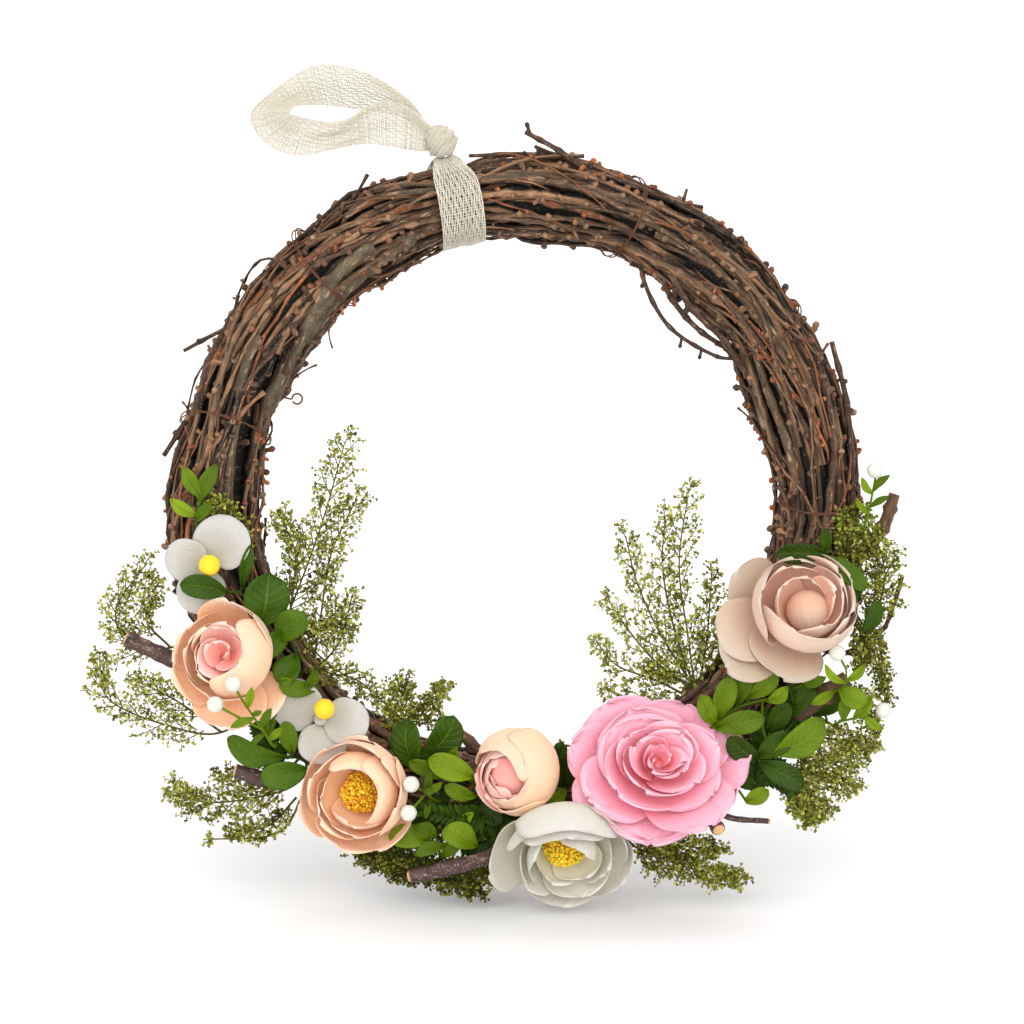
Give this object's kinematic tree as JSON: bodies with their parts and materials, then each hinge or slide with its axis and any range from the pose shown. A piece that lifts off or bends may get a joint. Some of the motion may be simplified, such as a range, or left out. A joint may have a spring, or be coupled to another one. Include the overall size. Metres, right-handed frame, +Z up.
{
  "type": "easter door wreath",
  "caption": "Round twig wreath for a door, with cloth spring flowers and greenery along its lower half and a ribbon loop to hang it by.",
  "frame": {"origin": "the point inside the ribbon loop at the top left that the wreath hangs by", "axes": "+Z up as it hangs, -Y out of the front with the flowers, +X to the right seen from the front"},
  "size_m": [0.3511, 0.0756, 0.3674],
  "materials": {
    "bare_twig": "matt, knobbly bark",
    "cut_stick": "matt speckled bark with pale cut ends",
    "rusty_wire": "thin wire, browned by rust",
    "jute_ribbon": "open-mesh jute",
    "peach_petal": "soft matt cloth petals",
    "pink_heart": "soft matt cloth petals",
    "pink_petal": "soft matt cloth petals",
    "deep_pink_petal": "soft matt cloth petals",
    "white_petal": "soft matt cloth petals",
    "blush_petal": "soft matt cloth petals",
    "blush_heart": "soft matt cloth petals",
    "stamen": "matt, finely grained",
    "berry": "smooth, softly shining",
    "dark_leaf": "waxy leaf with a pale rib",
    "light_leaf": "waxy young leaf",
    "floret": "matt, tiny cup-like florets"
  },
  "bodies": {
    "root": {"wire_tie_1": "rusty_wire", "wire_tie_2": "rusty_wire", "wire_tie_3": "rusty_wire", "wire_tie_4": "rusty_wire", "wire_tie_5": "rusty_wire", "ribbon": "jute_ribbon", "cut_stick_left": "cut_stick", "cut_stick_low_left": "cut_stick", "cut_stick_low": "cut_stick", "cut_stick_low_right": "cut_stick", "twig_ring": "bare_twig", "peach_rose_petals": "peach_petal", "peach_rose_heart": "pink_heart", "peach_ranunculus_petals": "peach_petal", "peach_ranunculus_stamens": "stamen", "peach_bud_petals": "peach_petal", "peach_bud_heart": "pink_heart", "pink_rose_petals": "pink_petal", "pink_rose_centre": "deep_pink_petal", "white_ranunculus_petals": "white_petal", "white_ranunculus_stamens": "stamen", "blush_ranunculus_petals": "blush_petal", "blush_ranunculus_heart": "blush_heart", "white_blossom_left_petals": "white_petal", "white_blossom_left_ball": "stamen", "white_blossom_low_petals": "white_petal", "white_blossom_low_ball": "stamen", "berry_left_1": "berry", "berry_left_2": "berry", "berry_centre_1": "berry", "berry_centre_2": "berry", "berry_top_1": "berry", "berry_blush_1": "berry", "berry_right_1": "berry", "berry_pick_left": "light_leaf", "berry_pick_centre": "light_leaf", "berry_pick_top": "light_leaf", "berry_pick_blush": "light_leaf", "berry_pick_right": "light_leaf", "shoots_left": "light_leaf", "sprig_left": "dark_leaf", "sprig_left_inner": "light_leaf", "sprig_low_left": "dark_leaf", "sprig_centre_dark": "dark_leaf", "sprig_centre_light": "light_leaf", "sprig_low_light": "light_leaf", "sprig_right_light": "light_leaf", "sprig_right_low": "dark_leaf", "sprig_right_top": "dark_leaf", "fern_sprig": "dark_leaf", "spray_left_tall": "floret", "spray_left_arc_high": "floret", "spray_left_arc_low": "floret", "spray_low_left": "floret", "spray_centre_left": "floret", "spray_right_tall": "floret", "spray_right_outer": "floret", "spray_right_cluster": "floret", "spray_low_moss_left": "floret", "spray_low_moss_right": "floret"}
  },
  "joints": []
}
